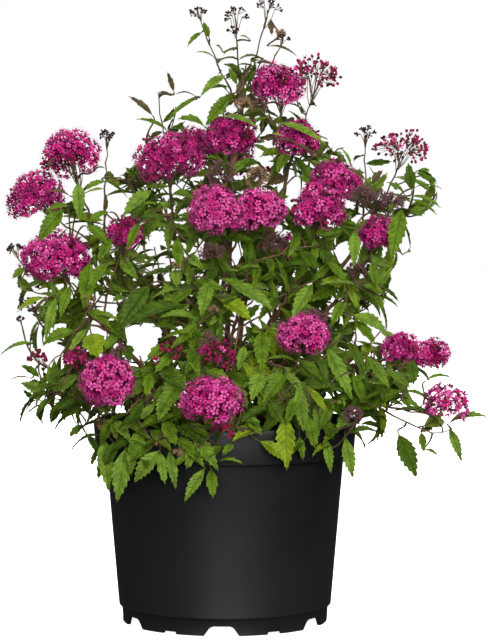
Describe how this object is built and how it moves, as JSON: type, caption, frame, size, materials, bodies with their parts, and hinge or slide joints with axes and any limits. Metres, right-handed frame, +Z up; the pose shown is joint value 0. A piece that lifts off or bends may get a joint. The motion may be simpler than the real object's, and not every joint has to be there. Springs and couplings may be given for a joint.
{
  "type": "potted spirea shrub",
  "caption": "Flowering shrub with upright woody stems, toothed green leaves and domed pink flower heads, growing in a round nursery pot.",
  "frame": {"origin": "centre of the pot's underside, on the surface that the pot stands on", "axes": "+Z up along the pot's axis; -Y towards the side seen in the picture; +X to the right in the picture"},
  "size_m": [0.4696, 0.4052, 0.6177],
  "materials": {
    "pot_plastic": "black moulded plastic, satin",
    "potting_mix": "moist bark and peat crumbs",
    "bark": "brown bark, finely furrowed",
    "foliage": "green leaves with deep pink flower heads"
  },
  "bodies": {
    "root": {"pot": "pot_plastic", "potting_mix": "potting_mix", "stem_top": "bark", "stem_crest": "bark", "stem_upper_front": "bark", "stem_upper_left": "bark", "stem_left_crest": "bark", "stem_left": "bark", "stem_lower_left": "bark", "stem_front_left": "bark", "stem_front": "bark", "stem_front_right": "bark", "stem_lower_right": "bark", "stem_right": "bark", "stem_right_middle": "bark", "stem_upper_right": "bark", "stem_right_crest": "bark", "stem_centre": "bark", "stem_back_low_left": "bark", "stem_back_low": "bark", "stem_back_low_right": "bark", "stem_back_left": "bark", "stem_back_right": "bark", "stem_back_upper": "bark", "foliage_top": "foliage", "foliage_crest": "foliage", "foliage_upper_front": "foliage", "foliage_upper_left": "foliage", "foliage_left_crest": "foliage", "foliage_left": "foliage", "foliage_lower_left": "foliage", "foliage_front_left": "foliage", "foliage_front": "foliage", "foliage_front_right": "foliage", "foliage_lower_right": "foliage", "foliage_right": "foliage", "foliage_right_middle": "foliage", "foliage_upper_right": "foliage", "foliage_right_crest": "foliage", "foliage_centre": "foliage", "foliage_back_low_left": "foliage", "foliage_back_low": "foliage", "foliage_back_low_right": "foliage", "foliage_back_left": "foliage", "foliage_back_right": "foliage", "foliage_back_upper": "foliage"}
  },
  "joints": []
}
